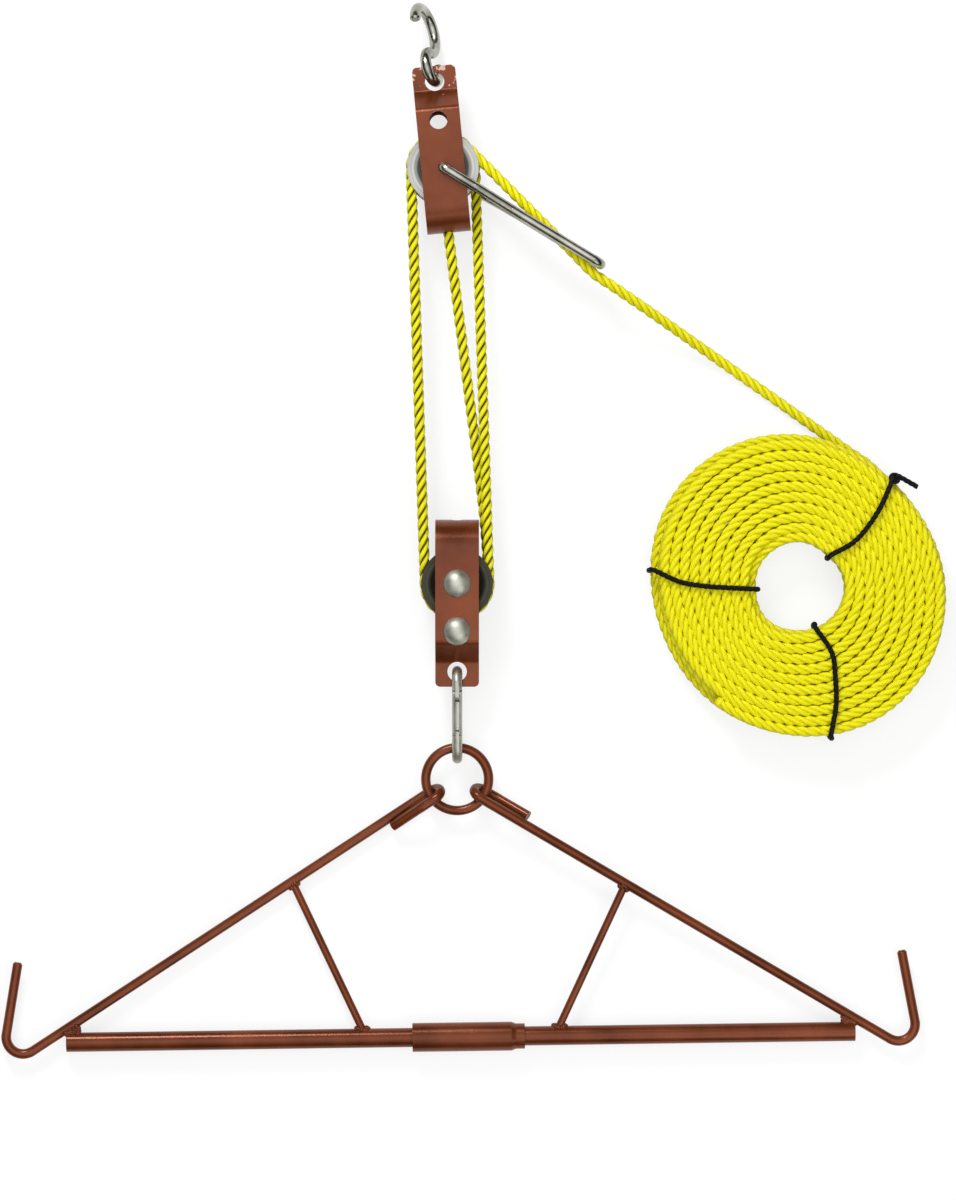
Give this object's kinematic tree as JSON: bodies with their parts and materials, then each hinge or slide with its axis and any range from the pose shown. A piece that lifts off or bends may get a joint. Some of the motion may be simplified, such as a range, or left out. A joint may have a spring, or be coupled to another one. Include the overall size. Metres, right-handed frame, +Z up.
{
  "type": "gambrel hoist kit",
  "caption": "Rope hoist laid flat: reeved sheave blocks with a locking wire bail and open hook, a snap link and a take-apart steel gambrel, with the spare yellow rope in a tied coil.",
  "frame": {"origin": "on the surface it lies on, under the middle of the box of the hardware (free cord left out)", "axes": "+X to the right along the gambrel's tube, +Y from the gambrel to the hook, +Z up from the surface"},
  "size_m": [0.7799, 0.8739, 0.064],
  "materials": {
    "paint": "reddish brown paint, satin, worn at edges",
    "zinc": "bright zinc plate",
    "pale_sheave": "cast, pale grey",
    "dark_sheave": "dark cast metal",
    "rope": "laid yellow plastic rope, satin",
    "tie": "black cord"
  },
  "bodies": {
    "upper_block": {"upper_strap": "paint", "upper_washers": "zinc", "becket_knot": "rope", "upper_front_wrap": "rope", "upper_rear_wrap": "rope", "rope_fall_1": "rope", "rope_fall_2": "rope", "rope_fall_3": "rope", "rope_fall_4": "rope", "haul_line": "rope", "rope_coil": "rope", "coil_tie_left": "tie", "coil_tie_right": "tie", "coil_tie_front": "tie"},
    "hook": {"s_hook": "zinc"},
    "lock": {"rope_lock": "zinc"},
    "upper_front": {"upper_front_sheave": "pale_sheave"},
    "upper_rear": {"upper_rear_sheave": "pale_sheave"},
    "lower_block": {"lower_strap": "paint", "lower_washers": "zinc", "axle_bolt": "zinc", "axle_nut": "zinc", "clamp_bolt": "zinc", "clamp_nut": "zinc", "clamp_spacer": "zinc", "lower_front_wrap": "rope", "lower_rear_wrap": "rope"},
    "lower_front": {"lower_front_sheave": "dark_sheave"},
    "lower_rear": {"lower_rear_sheave": "dark_sheave"},
    "link": {"link_body": "zinc", "gate_pin": "zinc"},
    "gate": {"link_gate": "zinc", "gate_spring": "zinc"},
    "gambrel": {"gambrel_ring": "paint", "right_arm": "paint", "right_tube": "paint", "right_brace": "paint", "centre_sleeve": "paint"},
    "left_half": {"left_arm": "paint", "left_tube": "paint", "left_brace": "paint"}
  },
  "joints": [
    {"name": "lift", "type": "slide", "parent": "upper_block", "child": "lower_block", "axis": [-0.0339, 0.9994, 0], "range_m": [0, 0.12], "deforming": ["rope_fall_1", "rope_fall_2", "rope_fall_3", "rope_fall_4"]},
    {"name": "hook_swing", "type": "hinge", "parent": "upper_block", "child": "hook", "pos_m": [-0.01855, 0.36763, 0.03185], "axis": [0, 0, 1], "range_deg": [-35, 20]},
    {"name": "lock_swing", "type": "hinge", "parent": "upper_block", "child": "lock", "pos_m": [-0.0116, 0.29546, 0.03185], "axis": [0, 0, 1], "range_deg": [0, 35]},
    {"name": "upper_front_turn", "type": "hinge", "parent": "upper_block", "child": "upper_front", "pos_m": [-0.0116, 0.29546, 0.03185], "axis": [0, 0, 1], "continuous": true},
    {"name": "upper_rear_turn", "type": "hinge", "parent": "upper_block", "child": "upper_rear", "pos_m": [-0.0116, 0.29546, 0.03185], "axis": [0, 0, 1], "continuous": true},
    {"name": "lower_front_turn", "type": "hinge", "parent": "lower_block", "child": "lower_front", "pos_m": [0, -0.04654, 0.03185], "axis": [0, 0, 1], "continuous": true},
    {"name": "lower_rear_turn", "type": "hinge", "parent": "lower_block", "child": "lower_rear", "pos_m": [0, -0.04654, 0.03185], "axis": [0, 0, 1], "continuous": true},
    {"name": "link_swing", "type": "hinge", "parent": "lower_block", "child": "link", "pos_m": [0, -0.11904, 0.03185], "axis": [0, 0, 1], "range_deg": [-6, 6]},
    {"name": "gate_turn", "type": "hinge", "parent": "link", "child": "gate", "pos_m": [0, -0.13857, 0.03916], "axis": [1, 0, 0], "range_deg": [0, 20], "stiffness_Nm_per_rad": 0.1, "springref_deg": -17.19},
    {"name": "gambrel_swing", "type": "hinge", "parent": "link", "child": "gambrel", "pos_m": [0, -0.18228, 0.01537], "axis": [0, 0, 1], "range_deg": [-6, 6]},
    {"name": "gambrel_fold", "type": "hinge", "parent": "gambrel", "child": "left_half", "pos_m": [0, -0.20827, 0.015], "axis": [-0.0002, 0.0141, -0.9999], "range_deg": [0, 75]}
  ],
  "couplings": [
    {"joint": "lower_rear_turn", "follows": "lift", "rad_per_m": -37.736},
    {"joint": "upper_rear_turn", "follows": "lift", "rad_per_m": -75.472},
    {"joint": "lower_front_turn", "follows": "lift", "rad_per_m": -113.21},
    {"joint": "upper_front_turn", "follows": "lift", "rad_per_m": -150.94}
  ]
}
